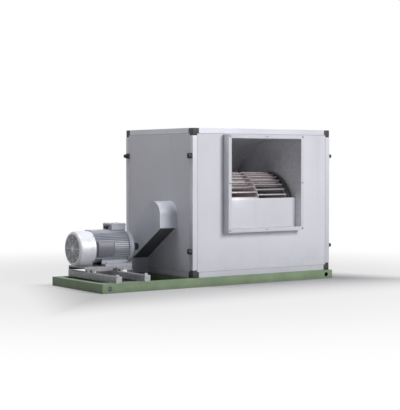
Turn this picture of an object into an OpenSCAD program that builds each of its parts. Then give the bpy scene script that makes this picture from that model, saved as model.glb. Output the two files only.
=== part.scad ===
// Belt driven double inlet centrifugal fan in a framed cabinet, with the motor
// beside it on slide rails and one common base.
// The origin is the centre of the base anchor holes, on the floor.
// +X runs along the outlet face to the right, +Y to the back, +Z up.

/* [Base] */
// How far the base runs past the middle of the outer motor rail
base_over = 112; // [100:1:130]
// Width of the base, front to back
base_w = 560; // [540:10:620]
// Height of the base channels
base_h = 50; // [44:1:60]
// Wall of the base channels
base_t = 4; // [3:0.5:6]
// Width of the channel flanges
base_flange = 40; // [36:1:46]
// Distance of the anchor holes from the base ends
anchor_inset = 92; // [80:2:110]
// Diameter of the anchor holes
anchor_d = 14; // [10:1:18]
// Diameter of the lifting holes in the long webs
lift_d = 26; // [18:1:30]
// Distance of the lifting holes from the base ends
lift_inset = 46; // [30:1:60]

/* [Cabinet] */
// Width of the air space on each side of the outlet
plenum_w = 246; // [240:2:270]
// Distance from the back of the scroll to the back of the cabinet
plenum_d = 107; // [90:1:200]
// Distance from the cabinet bottom up to the scroll
scroll_foot = 69; // [66:1:80]
// Distance from the top of the outlet to the cabinet top
outlet_head = 55; // [54:1:70]
// Distance from the base front to the cabinet front
cab_set = 30; // [20:1:40]
// Side of the square frame profile
profile = 30; // [28:1:34]
// Wall of the frame profile
profile_t = 2; // [1.5:0.25:3]
// Width of the profile fins that carry the panels
fin_w = 15; // [10:1:18]
// Thickness of the panels
panel_t = 20; // [18:1:22]
// Gap between a panel and the frame
panel_gap = 1.5; // [1:0.25:3]
// Length of a corner piece along each edge
corner_arm = 42; // [36:1:50]
// Chamfer on the tip of a corner piece
corner_cut = 9; // [4:1:14]

/* [Panel clips] */
// Length of a clip arm from its screw
clip_arm = 27; // [22:1:32]
// Height of a clip
clip_h = 32; // [28:1:33]
// Thickness of the clip arm
clip_t = 6; // [4:0.5:8]
// How far a clip stands off the panel
clip_out = 22; // [18:1:26]
// Diameter of the clip knob
clip_knob_d = 22; // [20:1:26]
// Width of the finger grip
clip_grip = 12; // [10:1:14]
// Diameter of the clip screws
clip_screw_d = 6; // [5:0.5:8]

/* [Outlet and inlet] */
// Distance from the outlet centre to the cabinet centre line
outlet_shift = 13; // [0:1:30]
// How far the collars stand off the cabinet
collar_out = 50; // [30:2:60]
// Width of the collar face
collar_lip = 21; // [18:1:26]
// Sheet thickness of the collars
collar_t = 2; // [1.5:0.25:3]
// Width of the inlet opening
inlet_w = 640; // [600:10:700]
// Height of the inlet opening
inlet_h = 520; // [480:10:560]
// Diameter of the duct bolt holes
duct_hole_d = 9; // [7:1:11]

/* [Scroll] */
// Gap between the wheel and the narrow part of the scroll
scroll_gap = 32.5; // [30:0.5:40]
// Gap between the wheel and each side sheet
side_gap = 19; // [17:1:22]
// Gap between the wheel and the cutoff plate
cutoff_gap = 13; // [12:1:20]
// Height of the fan shaft above the outlet sill
fan_rise = 92; // [88:1:100]
// How much the scroll radius drops from one quarter to the next
scroll_step = 65; // [60:0.5:70]
// Sheet thickness of the scroll
scroll_t = 2; // [1.5:0.25:2.5]
// Height of the cutoff plate
cutoff_h = 170; // [150:5:180]
// Distance from the cabinet front back to the cutoff plate
cutoff_set = 2; // [0:1:4]
// Radius of the rolled edge on the cutoff plate
cutoff_roll = 8; // [5:0.5:9]

/* [Wheel] */
// Outer diameter of the wheel
wheel_d = 456; // [400:2:500]
// Width of the wheel
wheel_w = 470; // [420:2:520]
// Radial depth of the blades
blade_depth = 34; // [28:1:38]
// Blades in each row
blade_n = 38; // [30:1:44]
// Thickness of the blades
blade_t = 1.5; // [1:0.25:2]
// Angle that a blade bends through
blade_bend = 85; // [60:1:100]
// Angle that the blade tip leads its root, seen from the shaft
blade_lead = 4; // [2:0.5:6]
// Thickness of the centre disc
disc_t = 4; // [3:0.5:6]
// Width of the end rings along the shaft
ring_w = 18; // [12:1:22]
// Radial depth of the end rings
ring_depth = 26; // [20:1:28]
// Diameter of the wheel hub
hub_d = 90; // [76:2:110]
// Length of the wheel hub
hub_l = 76; // [60:2:90]
// Diameter of the fan shaft
shaft_d = 35; // [30:1:38]

/* [Belt drive] */
// Distance from the cabinet side out to the middle of the belts
belt_out = 97; // [94:1:98]
// Pitch diameter of the fan pulley
fan_pitch_d = 100; // [95:1:104]
// Pitch diameter of the motor pulley
motor_pitch_d = 71; // [63:1:73]
// Number of belts
belt_n = 2; // [1:1:2]
// Distance between two belts
belt_pitch = 12; // [11:0.5:13]
// Width of a belt at its back
belt_top_w = 9.7; // [9:0.1:10]
// Thickness of a belt
belt_thick = 8; // [7:0.5:9]

/* [Belt guard] */
// Depth of the guard, from the cabinet side
guard_depth = 115; // [114:1:125]
// Sheet thickness of the guard
guard_t = 1.5; // [1:0.25:2]
// Radius of the guard nose
guard_r = 74; // [73:1:80]
// How far the nose centre lies in front of the fan shaft
guard_ahead = 12; // [6:1:13]
// How far the nose centre lies below the fan shaft
guard_below = 10; // [0:1:11]
// Distance from the nose centre down to the front lower corner
guard_drop = 74; // [70:1:84]
// Distance from the motor shaft back to the guard back
guard_back = 83; // [80:1:90]
// Width of the guard leg
guard_leg = 53; // [50:1:60]
// Height of the leg corner below the motor shaft
guard_knee = 73; // [70:1:80]

/* [Motor] */
// Height of the motor shaft above its feet
motor_rise = 100; // [98:1:112]
// Distance from the fan shaft back to the motor shaft
motor_back = 187; // [184:1:200]
// Length of the motor shaft end
motor_shaft_l = 60; // [60:1:64]
// How far the shaft end runs past the middle of the belts
shaft_past = 11; // [8:1:14]
// Diameter of the motor shaft end
motor_shaft_d = 28; // [24:1:28]
// Length of the drive end shield
shield_l = 38; // [34:1:42]
// Length of the finned frame
frame_l = 255; // [245:5:265]
// Length of the fan cowl behind the frame
cowl_l = 87; // [84:1:96]
// Diameter over the fins
frame_d = 192; // [188:1:194]
// Depth of the fins
fin_depth = 14; // [10:1:16]
// Thickness of a fin
fin_t = 2.5; // [2:0.5:3.5]
// Fins on each side of the frame
fin_n = 15; // [12:1:17]
// Distance between the foot holes, across the shaft
foot_a = 160; // [156:2:170]
// Distance between the foot holes, along the shaft
foot_b = 140; // [130:2:150]
// Distance from the shaft shoulder to the first foot holes
foot_c = 63; // [60:1:66]
// Diameter of the foot bolts
foot_bolt_d = 10; // [8:1:12]
// Length of the terminal box along the shaft
box_l = 92; // [80:2:100]
// Width of the terminal box
box_w = 100; // [90:2:110]
// Height of the terminal box above the fins
box_h = 28; // [26:1:36]

/* [Motor rails] */
// Height of the slide rails
rail_h = 34; // [30:1:40]
// Width of the slide rails
rail_w = 36; // [32:1:40]
// Distance of the rail ends from the base edges
rail_end = 15; // [12:1:20]
// Wall of the slide rails
rail_t = 4; // [3:0.5:5]
// Distance between the two rails
rail_gap = 180; // [170:2:186]
// Height of the motor plate
plate_h = 26; // [22:1:30]
// Thickness of the motor plate
plate_t = 6; // [5:0.5:8]
// Length of the motor plate along the shaft
plate_l = 304; // [300:2:320]
// Width of the motor plate, front to back
plate_w = 196; // [192:2:210]
// How far the middle of the plate lies behind the middle of the motor feet
plate_shift = 65; // [63:1:70]
// How far the middle of the rails lies behind the middle of the motor feet
rail_shift = 119; // [112:1:124]

/* [Hidden] */
$fn = 72;

// How far a cut runs past the face that it goes through
cut = 1;
// Gap between pieces that move past each other
slide_gap = 0.4;
// Gap on the radius between a turning pin and its bore
run_gap = 0.06;

// Sizes that follow the wheel: scroll, outlet and cabinet
wheel_r = wheel_d / 2;
half_step = scroll_step / 2;
scroll_near = wheel_r + scroll_gap;
quarter_r = [scroll_near + 2 * scroll_step, scroll_near + scroll_step, scroll_near];
scroll_top = quarter_r[0] + half_step;
scroll_low = quarter_r[1] - half_step;
fan_setback = cutoff_set + scroll_t + cutoff_gap + wheel_r;
outlet_w = wheel_w + 2 * side_gap;
outlet_h = fan_rise + scroll_top;
outlet_sill = scroll_foot + scroll_low - fan_rise;
cab_w = outlet_w + 2 * plenum_w;
cab_d = fan_setback + quarter_r[0] - half_step + plenum_d;
cab_h = outlet_sill + outlet_h + outlet_head;

// Distances out from the cabinet side, to the motor, the outer rail and the base end
motor_out = belt_out + motor_shaft_l - shaft_past;
rail_out = motor_out + foot_c + foot_b / 2 + rail_shift + rail_gap / 2;
base_l = cab_w + rail_out + base_over;
rail_l = base_w - 2 * rail_end;

// Cabinet box
cab_x = base_l / 2 - cab_w;
cab_y = -base_w / 2 + cab_set;
cab_z = base_h;
cab_y_end = cab_y + cab_d;
fin_sheet = profile_t;
stub_l = corner_arm * 0.6;
stub_gap = 0.3;

// Clip heights as shares of the cabinet height
clip_height_shares = [0.175, 0.815];
clip_heel = clip_arm / 3;
clip_head_r = clip_screw_d;
clip_head_t = clip_screw_d / 2;
clip_edge = clip_t / 3;

// Outlet, inlet and scroll
outlet_x = cab_x + cab_w / 2 - outlet_shift;
outlet_z = cab_z + outlet_sill;
inlet_x = cab_x + cab_w / 2;
inlet_z = cab_z + (cab_h - inlet_h) / 2;
fan_y = cab_y + fan_setback;
fan_z = outlet_z + fan_rise;
sheet_x = outlet_w / 2 + scroll_t;
scroll_front = -fan_setback - collar_out + collar_t;

// Wheel
ring_lap = 2;
ring_wall = 3;
throat_gap = 5;
tip_r = wheel_r - ring_lap - blade_t / 2;
root_r = tip_r - blade_depth;
throat_r = root_r - throat_gap - scroll_t;
bell_r = 30;
cone_lip = 6;
cone_flange = 9;
cone_hole_r = throat_r + bell_r + slide_gap;
pillow_h = 48;
pillow_l = 160;
pillow_w = 46;
pillow_r = 42;
pillow_foot = 17;
bearing_out = 70;
bracket_w = 100;
bracket_t = 8;
mount_h = 30;
mount_r = 24;
foot_h = 40;
foot_wall = 5;
foot_l = 500;
foot_back = 60;
feet_z = cab_z + panel_t + mount_h;
feet_y = fan_y + foot_back - foot_l / 2;
saddle_z = fan_z - pillow_h;

// Blades: each one is an arc strip from the root radius to the tip radius
blade_start = [root_r, 0];
blade_tip = tip_r * [cos(blade_lead), sin(blade_lead)];
blade_chord = blade_tip - blade_start;
blade_r = norm(blade_chord) / (2 * sin(blade_bend / 2));
blade_turn = atan2(blade_chord[1], blade_chord[0]);
blade_centre = (blade_start + blade_tip) / 2
  + blade_r * cos(blade_bend / 2) * [-sin(blade_turn), cos(blade_turn)];
blade_first = blade_turn - 90 - blade_bend / 2;
blade_l = wheel_w / 2 - disc_t / 2 - ring_wall;

// Motor and drive
motor_y = fan_y + motor_back;
motor_z = base_h + rail_h + slide_gap + plate_h + motor_rise;
belt_x = cab_x - belt_out;
pulley_lip = 2;
pulley_w = (belt_n - 1) * belt_pitch + belt_thick * 2;
motor_x = cab_x - motor_out;
fan_r = fan_pitch_d / 2;
drive_r = motor_pitch_d / 2;
groove_gap = 0.4;
groove_foot = 1.6;
belt_rise = 1.5;
belt_slope = tan(19);
drive_gap = norm([motor_back, motor_z - fan_z]);
drive_angle = atan2(motor_z - fan_z, motor_back);
wrap_angle = acos((fan_r - drive_r) / drive_gap);
span_lap = belt_thick / 8;
span_l = sqrt(pow(drive_gap, 2) - pow(fan_r - drive_r, 2));
frame_r = frame_d / 2;
frame_back = shield_l + frame_l;
cowl_t = 2;
cowl_r = frame_r + cowl_t;
cowl_end = frame_back + cowl_l;
fan_inset = 14;
frame_wall = 6;
core_r = frame_r - fin_depth - frame_wall;
core_inset = 30;
rotor_r = core_r * 0.6;
air_gap = 0.6;
bearing_r = 31;
bearing_w = 16;
bearing_d = 30;
shaft_core_r = 19;
shield_t = 6;
boss_r = 42;
rear_z = frame_back + shield_l * 0.8;
fin_from = 27;
fin_arc = 99;
foot_t = 12;
foot_pad = 34;
foot_len = foot_b + foot_pad;
box_z = shield_l + fin_depth * 1.5;
gland_d = 16;
gland_bore = 10;
pad_rise = 6;
box_r = frame_r + pad_rise;
lid_t = 8;
shaft_out = pulley_w / 2 - slide_gap;
grille_rings = 8;
grille_bar = 3;

// Rails and motor plate
feet_x = motor_x - foot_c - foot_b / 2;
plate_x = feet_x - plate_shift;
rail_x = [feet_x - rail_shift - rail_gap / 2, feet_x - rail_shift + rail_gap / 2];
rail_y = -base_w / 2 + rail_end;
rail_top = base_h + rail_h;
plate_z = rail_top + slide_gap;
plate_y = motor_y - plate_w / 2;
slot_w = 13;
rail_bolt_d = 10;
rail_bolt_in = 18;
block_l = 20;
block_h = 22;
block_y = plate_y - block_l * 3;
push_screw_d = 10;

// Guard outline: nose centre, and the slanted edges
nose = [fan_y - guard_ahead, fan_z - guard_below];
back_y = motor_y + guard_back;
leg_y = back_y - guard_leg;
knee_z = motor_z - guard_knee;
guard_front = nose[0] - guard_r;
corner_z = nose[1] - guard_drop;
low_slope = (knee_z - corner_z) / (leg_y - guard_front);
low_stretch = sqrt(1 + pow(low_slope, 2));
shoulder_z = motor_z + 0.26 * motor_back;
shoulder_gap = [back_y - nose[0], shoulder_z - nose[1]];
guard_seam = 0.4;
top_r = guard_r - guard_seam;
top_angle = atan2(shoulder_gap[1], shoulder_gap[0]) + acos(top_r / norm(shoulder_gap));
guard_flange = 14;
guard_screw_d = 5;

green = [0.50, 0.56, 0.46];
panel_white = [0.80, 0.80, 0.83];
zinc = [0.70, 0.71, 0.72];
black = [0.14, 0.14, 0.15];
silver = [0.82, 0.83, 0.84];
dark_steel = [0.35, 0.35, 0.37];
rubber = [0.12, 0.12, 0.12];

// Turns a drawing so that its x runs to the back, its y up and its height right
module along_x() {
  rotate([90, 0, 90]) children();
}

// Turns a drawing so that its height runs to the back
module along_y() {
  rotate([90, 0, 90]) rotate([90, 0, 90]) children();
}

// A flat ring with square corners, w by h outside, drawn about its centre
module square_ring(w, h, inner_w, inner_h) {
  difference() {
    square([w, h], center = true);
    square([inner_w, inner_h], center = true);
  }
}

// A slot of a given width whose end centres lie at 0 and at l
module slot(l, w) {
  circle(d = w);
  translate([l, 0]) circle(d = w);
  translate([0, -w / 2]) square([l, w]);
}

// Base

// A base channel along +X with its web at y = 0 and its flanges towards +Y
module long_beam() {
  difference() {
    cube([base_l, base_flange, base_h]);
    translate([-cut, base_t, base_t])
      cube([base_l + 2 * cut, base_flange, base_h - 2 * base_t]);
    for (x = [lift_inset, base_l - lift_inset])
      translate([x, -cut, base_h / 2]) rotate([-90, 0, 0]) cylinder(d = lift_d, h = base_t + 2 * cut);
    for (x = [anchor_inset, base_l - anchor_inset])
      translate([x, (base_flange + base_t) / 2, -cut]) cylinder(d = anchor_d, h = base_t + 2 * cut);
  }
}

// Holes for the bolts that hold the rails on the long beams
module rail_bolt_places() {
  for (x = rail_x)
    for (y = [rail_y + rail_bolt_in, rail_y + rail_l - rail_bolt_in])
      translate([x, y, 0]) children();
}

module rail_bolt_cuts() {
  rail_bolt_places() translate([0, 0, base_h - base_t - cut])
    cylinder(d = rail_bolt_d, h = base_t + 2 * cut, $fn = 32);
}

module base_front_beam() {
  color(green) difference() {
    translate([-base_l / 2, -base_w / 2, 0]) long_beam();
    rail_bolt_cuts();
  }
}

module base_back_beam() {
  color(green) difference() {
    mirror([0, 1, 0]) translate([-base_l / 2, -base_w / 2, 0]) long_beam();
    rail_bolt_cuts();
  }
}

// A channel between the long beams, with its web at x = 0 and coped ends
module short_beam() {
  translate([0, -base_w / 2 + base_t, base_t])
    cube([base_t, base_w - 2 * base_t, base_h - 2 * base_t]);
  for (z = [0, base_h - base_t])
    translate([0, -base_w / 2 + base_flange, z])
      cube([base_flange, base_w - 2 * base_flange, base_t]);
}

module base_left_beam() {
  color(green) translate([-base_l / 2, 0, 0]) short_beam();
}

module base_right_beam() {
  color(green) mirror([1, 0, 0]) translate([-base_l / 2, 0, 0]) short_beam();
}

module base_cross_beams() {
  color(green) for (x = [cab_x, cab_x + cab_w / 2]) translate([x, 0, 0]) short_beam();
}

// Motor rails

module motor_rails() {
  color(zinc) for (x = rail_x) difference() {
    union() {
      translate([x - rail_w / 2, rail_y, base_h]) cube([rail_w, rail_l, rail_h]);
      translate([x - rail_w / 2, rail_y, base_h]) cube([rail_w / 2, 2 * rail_t, rail_h + 3 * rail_t]);
    }
    translate([x - rail_w / 2 + rail_t, rail_y + 2 * rail_t, base_h + rail_t])
      cube([rail_w - 2 * rail_t, rail_l - 4 * rail_t, rail_h - 2 * rail_t]);
    translate([x, rail_y + rail_bolt_in, rail_top - rail_t - cut])
      rotate([0, 0, 90]) linear_extrude(rail_t + 2 * cut) slot(rail_l - 2 * rail_bolt_in, slot_w);
    for (y = [rail_y + rail_bolt_in, rail_y + rail_l - rail_bolt_in])
      translate([x, y, base_h - cut]) cylinder(d = rail_bolt_d, h = rail_t + 2 * cut, $fn = 32);
  }
}

module rail_bolts() {
  color(silver) rail_bolt_places() translate([0, 0, base_h + rail_t]) {
    cylinder(d = slot_w - slide_gap, h = 0.7 * rail_bolt_d, $fn = 6);
    translate([0, 0, -rail_t - base_t - rail_bolt_d])
      cylinder(d = rail_bolt_d, h = rail_t + base_t + rail_bolt_d + cut, $fn = 32);
  }
}

// Clamped blocks on the rails with the screws that push the motor plate back

module tension_screws() {
  color(silver) for (x = rail_x) {
    translate([x - rail_w / 2, block_y, rail_top]) cube([rail_w, block_l, block_h]);
    translate([x, plate_y - slide_gap, rail_top + block_h / 2])
      rotate([90, 0, 0]) cylinder(d = push_screw_d, h = plate_y - block_y + push_screw_d, $fn = 32);
    translate([x, block_y - push_screw_d, rail_top + block_h / 2])
      rotate([90, 0, 0]) cylinder(d = 1.8 * push_screw_d, h = 0.7 * push_screw_d, $fn = 6);
    translate([x, block_y + block_l / 2, rail_top - rail_t - cut])
      cylinder(d = slot_w - 2 * slide_gap, h = rail_t + 2 * cut, $fn = 32);
  }
}

// Cabinet frame

// Moves to a cabinet corner, with the three axes pointing inwards
module at_corner(i, j, k) {
  translate([cab_x + i * cab_w, cab_y + j * cab_d, cab_z + k * cab_h])
    mirror([i, 0, 0]) mirror([0, j, 0]) mirror([0, 0, k]) children();
}

// A square tube with two fins, along +Z, between the corner pieces
module profile_bar(l, fin_end) {
  inner = profile - 2 * profile_t;
  translate([0, 0, corner_arm]) difference() {
    cube([profile, profile, l - 2 * corner_arm]);
    translate([profile_t, profile_t, -cut]) cube([inner, inner, l]);
  }
  translate([profile - cut, panel_t, fin_end]) cube([fin_w + cut, fin_sheet, l - 2 * fin_end]);
  translate([panel_t, profile - cut, fin_end]) cube([fin_sheet, fin_w + cut, l - 2 * fin_end]);
}

module clip_places(i, j) {
  for (share = clip_height_shares)
    translate([cab_x + i * cab_w, cab_y + profile / 2 + j * (cab_d - profile), cab_z + share * cab_h])
      children();
}

module frame_posts() {
  color(silver) for (i = [0, 1]) for (j = [0, 1]) difference() {
    at_corner(i, j, 0) profile_bar(cab_h, corner_arm);
    clip_places(i, j) rotate([0, 90, 0])
      cylinder(d = clip_screw_d, h = 2 * (profile_t + cut), center = true, $fn = 32);
  }
}

module frame_rails() {
  rail_fin = profile + fin_w + panel_gap;
  color(silver) for (j = [0, 1]) for (k = [0, 1]) {
    at_corner(0, j, k) along_x() profile_bar(cab_w, rail_fin);
    at_corner(j, 0, k) along_y() profile_bar(cab_d, rail_fin);
  }
}

module corner_pieces() {
  stub = profile - 2 * profile_t - 2 * stub_gap;
  stub_at = profile_t + stub_gap;
  color(black) for (i = [0, 1]) for (j = [0, 1]) for (k = [0, 1]) at_corner(i, j, k) difference() {
    union() {
      cube([corner_arm, profile, profile]);
      cube([profile, corner_arm, profile]);
      cube([profile, profile, corner_arm]);
      translate([stub_at, stub_at, stub_at]) {
        cube([corner_arm + stub_l, stub, stub]);
        cube([stub, corner_arm + stub_l, stub]);
        cube([stub, stub, corner_arm + stub_l]);
      }
    }
    rotate([0, 0, 45]) rotate([0, atan(sqrt(2)), 0])
      translate([-profile, -profile, -profile]) cube([2 * profile, 2 * profile, profile + corner_cut / 2]);
  }
}

// Panels

// A panel of w by h by its thickness, with its outer face at z = 0, and a
// rebate round its inner face
module panel_blank(w, h) {
  edge = profile + panel_gap;
  skin = panel_t * 0.8;
  rebate = panel_gap * 2;
  translate([edge, edge, 0]) cube([w - 2 * edge, h - 2 * edge, skin]);
  translate([edge + rebate, edge + rebate, skin - cut])
    cube([w - 2 * (edge + rebate), h - 2 * (edge + rebate), panel_t - skin + cut]);
}

// The outer size of a collar with a given opening
function collar_size(size) = size + 2 * collar_lip;

module collar_hole(x, z, w, h) {
  translate([x - collar_size(w) / 2, cab_y - cut, z - collar_lip])
    cube([collar_size(w), cab_d + 2 * cut, collar_size(h)]);
}

module front_panel() {
  color(panel_white) difference() {
    at_corner(0, 0, 0) mirror([0, 1, 0]) rotate([90, 0, 0]) panel_blank(cab_w, cab_h);
    collar_hole(outlet_x, outlet_z, outlet_w, outlet_h);
  }
}

module back_panel() {
  color(panel_white) difference() {
    at_corner(0, 1, 0) mirror([0, 1, 0]) rotate([90, 0, 0]) panel_blank(cab_w, cab_h);
    collar_hole(inlet_x, inlet_z, inlet_w, inlet_h);
  }
}

module left_panel() {
  color(panel_white) difference() {
    at_corner(0, 0, 0) along_x() panel_blank(cab_d, cab_h);
    translate([cab_x - cut, fan_y, fan_z]) rotate([0, 90, 0])
      cylinder(d = 2 * shaft_d, h = panel_t + 2 * cut);
  }
}

module right_panel() {
  color(panel_white) at_corner(1, 0, 0) along_x() panel_blank(cab_d, cab_h);
}

module top_panel() {
  color(panel_white) at_corner(0, 0, 1) panel_blank(cab_w, cab_d);
}

module bottom_panel() {
  color(panel_white) at_corner(0, 0, 0) panel_blank(cab_w, cab_d);
}

// Panel clips

// A turning clip on the left side, pivot at the origin, arm towards +Y
module clip_body() {
  translate([-slide_gap, 0, 0]) rotate([0, -90, 0]) difference() {
    union() {
      translate([-clip_h / 2 + clip_edge, -clip_heel, 0])
        cube([clip_h - 2 * clip_edge, clip_heel + clip_arm, clip_t]);
      translate([-clip_h / 2, -clip_heel + clip_edge, 0])
        cube([clip_h, clip_heel + clip_arm - 2 * clip_edge, clip_t]);
      cylinder(d = clip_knob_d, h = clip_out - clip_edge);
      cylinder(d = clip_knob_d - 2 * clip_edge, h = clip_out);
      translate([-clip_h / 2 + clip_edge, clip_arm - clip_grip - clip_edge, 0])
        cube([clip_h - 2 * clip_edge, clip_grip, clip_out / 2]);
    }
    translate([0, 0, -cut]) cylinder(r = clip_screw_d / 2 + run_gap, h = clip_out, $fn = 32);
    translate([0, 0, clip_t]) cylinder(r = clip_head_r + slide_gap, h = clip_out, $fn = 32);
  }
}

// A clip on side i (0 left, 1 right), edge j (0 front, 1 back), height share k
module clip(i, j, k) {
  y = cab_y + profile / 2 + j * (cab_d - profile);
  z = cab_z + clip_height_shares[k] * cab_h;
  color(black) translate([cab_x + i * cab_w, y, z]) mirror([i, 0, 0]) mirror([0, j, 0]) clip_body();
}

module clip_left_front_upper() { clip(0, 0, 1); }
module clip_left_front_lower() { clip(0, 0, 0); }
module clip_left_back_upper() { clip(0, 1, 1); }
module clip_left_back_lower() { clip(0, 1, 0); }
module clip_right_front_upper() { clip(1, 0, 1); }
module clip_right_front_lower() { clip(1, 0, 0); }
module clip_right_back_upper() { clip(1, 1, 1); }
module clip_right_back_lower() { clip(1, 1, 0); }

module clip_screws() {
  color(silver) for (i = [0, 1]) for (j = [0, 1]) clip_places(i, j) mirror([i, 0, 0]) rotate([0, -90, 0]) {
    translate([0, 0, -profile_t - clip_screw_d])
      cylinder(d = clip_screw_d, h = profile_t + 2 * clip_screw_d, $fn = 32);
    translate([0, 0, clip_t + 2 * slide_gap]) cylinder(r = clip_head_r - slide_gap, h = clip_head_t);
  }
}

// Duct collars

// Bolt places round an opening: the corners and the middles of the sides
module duct_bolts(w, h) {
  for (i = [-1, 0, 1]) for (j = [-1, 0, 1])
    if (i != 0 || j != 0)
      translate([i * (w + collar_lip) / 2, j * (h + collar_lip) / 2]) children();
}

// A collar with its face at z = 0, which runs back through the panel
module collar(w, h) {
  out_w = collar_size(w);
  out_h = collar_size(h);
  deep = collar_out + panel_t - slide_gap;
  linear_extrude(collar_t) difference() {
    square_ring(out_w, out_h, w, h);
    duct_bolts(w, h) circle(d = duct_hole_d, $fn = 32);
  }
  linear_extrude(deep) square_ring(out_w, out_h, out_w - 2 * collar_t, out_h - 2 * collar_t);
  translate([0, 0, deep - collar_t]) linear_extrude(collar_t)
    square_ring(out_w, out_h, w + 2 * scroll_t, h + 2 * scroll_t);
}

module outlet_collar() {
  color(panel_white) translate([outlet_x, cab_y - collar_out, outlet_z + outlet_h / 2])
    mirror([0, 1, 0]) rotate([90, 0, 0]) collar(outlet_w, outlet_h);
}

module inlet_collar() {
  color(panel_white) translate([inlet_x, cab_y_end + collar_out, inlet_z + inlet_h / 2])
    rotate([90, 0, 0]) {
      collar(inlet_w, inlet_h);
      translate([0, 0, collar_out - collar_t]) linear_extrude(collar_t)
        square_ring(collar_size(inlet_w) + collar_lip, collar_size(inlet_h) + collar_lip,
          collar_size(inlet_w) - collar_t, collar_size(inlet_h) - collar_t);
    }
}

// Scroll housing, drawn from the shaft: x to the back and y up

// A quarter disc about a centre, from angle a, which is a multiple of 90
module quarter(centre, r, a) {
  translate(centre) rotate([0, 0, a]) intersection() {
    circle(r = r, $fn = 180);
    square([r, r]);
  }
}

module scroll_area(grow) {
  quarter([-half_step, half_step], quarter_r[0] + grow, 0);
  quarter([half_step, half_step], quarter_r[1] + grow, 270);
  quarter([half_step, -half_step], quarter_r[2] + grow, 180);
  translate([-half_step, -half_step]) square([scroll_step, scroll_step]);
  translate([scroll_front, -fan_rise - grow])
    square([-scroll_front - half_step, outlet_h + 2 * grow]);
  translate([-half_step - cut, -half_step]) square([2 * cut, scroll_top / 2]);
}

module at_fan(x) {
  translate([x, fan_y, fan_z]) along_x() children();
}

module scroll_wrap() {
  color(zinc) at_fan(outlet_x - outlet_w / 2) linear_extrude(outlet_w) difference() {
    scroll_area(scroll_t);
    scroll_area(0);
  }
}

module scroll_side() {
  linear_extrude(scroll_t) difference() {
    scroll_area(scroll_t);
    circle(r = cone_hole_r, $fn = 144);
  }
}

module scroll_side_left() {
  color(zinc) at_fan(outlet_x - sheet_x) scroll_side();
}

module scroll_side_right() {
  color(zinc) at_fan(outlet_x + sheet_x - scroll_t) scroll_side();
}

module cutoff_plate() {
  plate_u = cutoff_set - fan_setback;
  top_v = cutoff_h - fan_rise - cutoff_roll;
  color(panel_white) at_fan(outlet_x - outlet_w / 2) linear_extrude(outlet_w) {
    translate([plate_u, -fan_rise]) square([scroll_t, top_v + fan_rise]);
    translate([plate_u + cutoff_roll, top_v]) intersection() {
      difference() {
        circle(r = cutoff_roll);
        circle(r = cutoff_roll - scroll_t);
      }
      translate([-cutoff_roll, 0]) square([2 * cutoff_roll, cutoff_roll]);
    }
  }
}

// A bell mouth: a flange on the side sheet, a rounded throat and a short lip
module inlet_cone() {
  rotate_extrude($fn = 144) {
    translate([throat_r + bell_r, 0]) intersection() {
      difference() {
        circle(r = bell_r, $fn = 72);
        circle(r = bell_r - scroll_t, $fn = 72);
      }
      translate([-bell_r, 0]) square([bell_r, bell_r]);
    }
    translate([throat_r + bell_r - cut, bell_r - scroll_t]) square([cone_flange + cut, scroll_t]);
    translate([throat_r, -cone_lip]) square([scroll_t, cone_lip]);
  }
}

module inlet_cones() {
  cone_in = bell_r - scroll_t;
  color(zinc) {
    at_fan(outlet_x + sheet_x - cone_in) inlet_cone();
    at_fan(outlet_x - sheet_x + cone_in) mirror([0, 0, 1]) inlet_cone();
  }
}

// Blower feet, mounts, brackets and bearings on both sides of the scroll

// Puts a drawing on both sides, with x = 0 on the outside of the side sheet
module both_sides() {
  for (i = [0, 1]) translate([outlet_x, 0, 0]) mirror([1 - i, 0, 0]) translate([sheet_x, 0, 0]) children();
}

module blower_feet() {
  color(zinc) both_sides() translate([0, feet_y, feet_z]) difference() {
    cube([bracket_w, foot_l, foot_h]);
    translate([foot_wall, -cut, -cut])
      cube([bracket_w - 2 * foot_wall, foot_l + 2 * cut, foot_h - foot_wall + cut]);
  }
}

module rubber_mounts() {
  color(rubber) both_sides() for (y = [feet_y + 2 * mount_r, feet_y + foot_l - 2 * mount_r])
    translate([bracket_w / 2, y, cab_z + panel_t]) {
      cylinder(r = mount_r, h = mount_h);
      cylinder(r = mount_r / 3, h = mount_h + foot_h - foot_wall);
    }
}

// A sheet trestle with a wide foot, two sloping legs and a saddle on top
module bearing_brackets() {
  tall = saddle_z - feet_z - foot_h;
  leg = bracket_t * 5;
  color(zinc) both_sides() translate([bearing_out, fan_y, feet_z + foot_h]) {
    translate([-bracket_t / 2, 0, 0]) along_x() linear_extrude(bracket_t) difference() {
      polygon([[-pillow_l, 0], [pillow_l, 0], [pillow_l / 2, tall], [-pillow_l / 2, tall]]);
      polygon([
        [-pillow_l + leg, leg / 2], [pillow_l - leg, leg / 2],
        [pillow_l / 2 - leg, tall - leg], [-pillow_l / 2 + leg, tall - leg]
      ]);
    }
    for (z = [0, tall - bracket_t]) {
      half = z == 0 ? pillow_l : pillow_l / 2;
      translate([-pillow_w / 2, -half, z]) cube([pillow_w, 2 * half, bracket_t]);
    }
  }
}

module fan_bearings() {
  ear = pillow_w / 2;
  color(dark_steel) both_sides() translate([bearing_out, fan_y, fan_z]) along_x() difference() {
    union() {
      translate([0, 0, -ear / 2]) cylinder(r = pillow_r, h = ear);
      translate([0, 0, -ear]) cylinder(r = shaft_d * 0.75, h = pillow_w);
      translate([-pillow_l / 2, -pillow_h, -ear]) cube([pillow_l, pillow_foot, pillow_w]);
      translate([-pillow_r, -pillow_h, -ear / 2]) cube([2 * pillow_r, pillow_h, ear]);
    }
    translate([0, 0, -pillow_w]) cylinder(r = shaft_d / 2 + run_gap, h = 2 * pillow_w);
  }
}

// Belt guard

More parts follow.
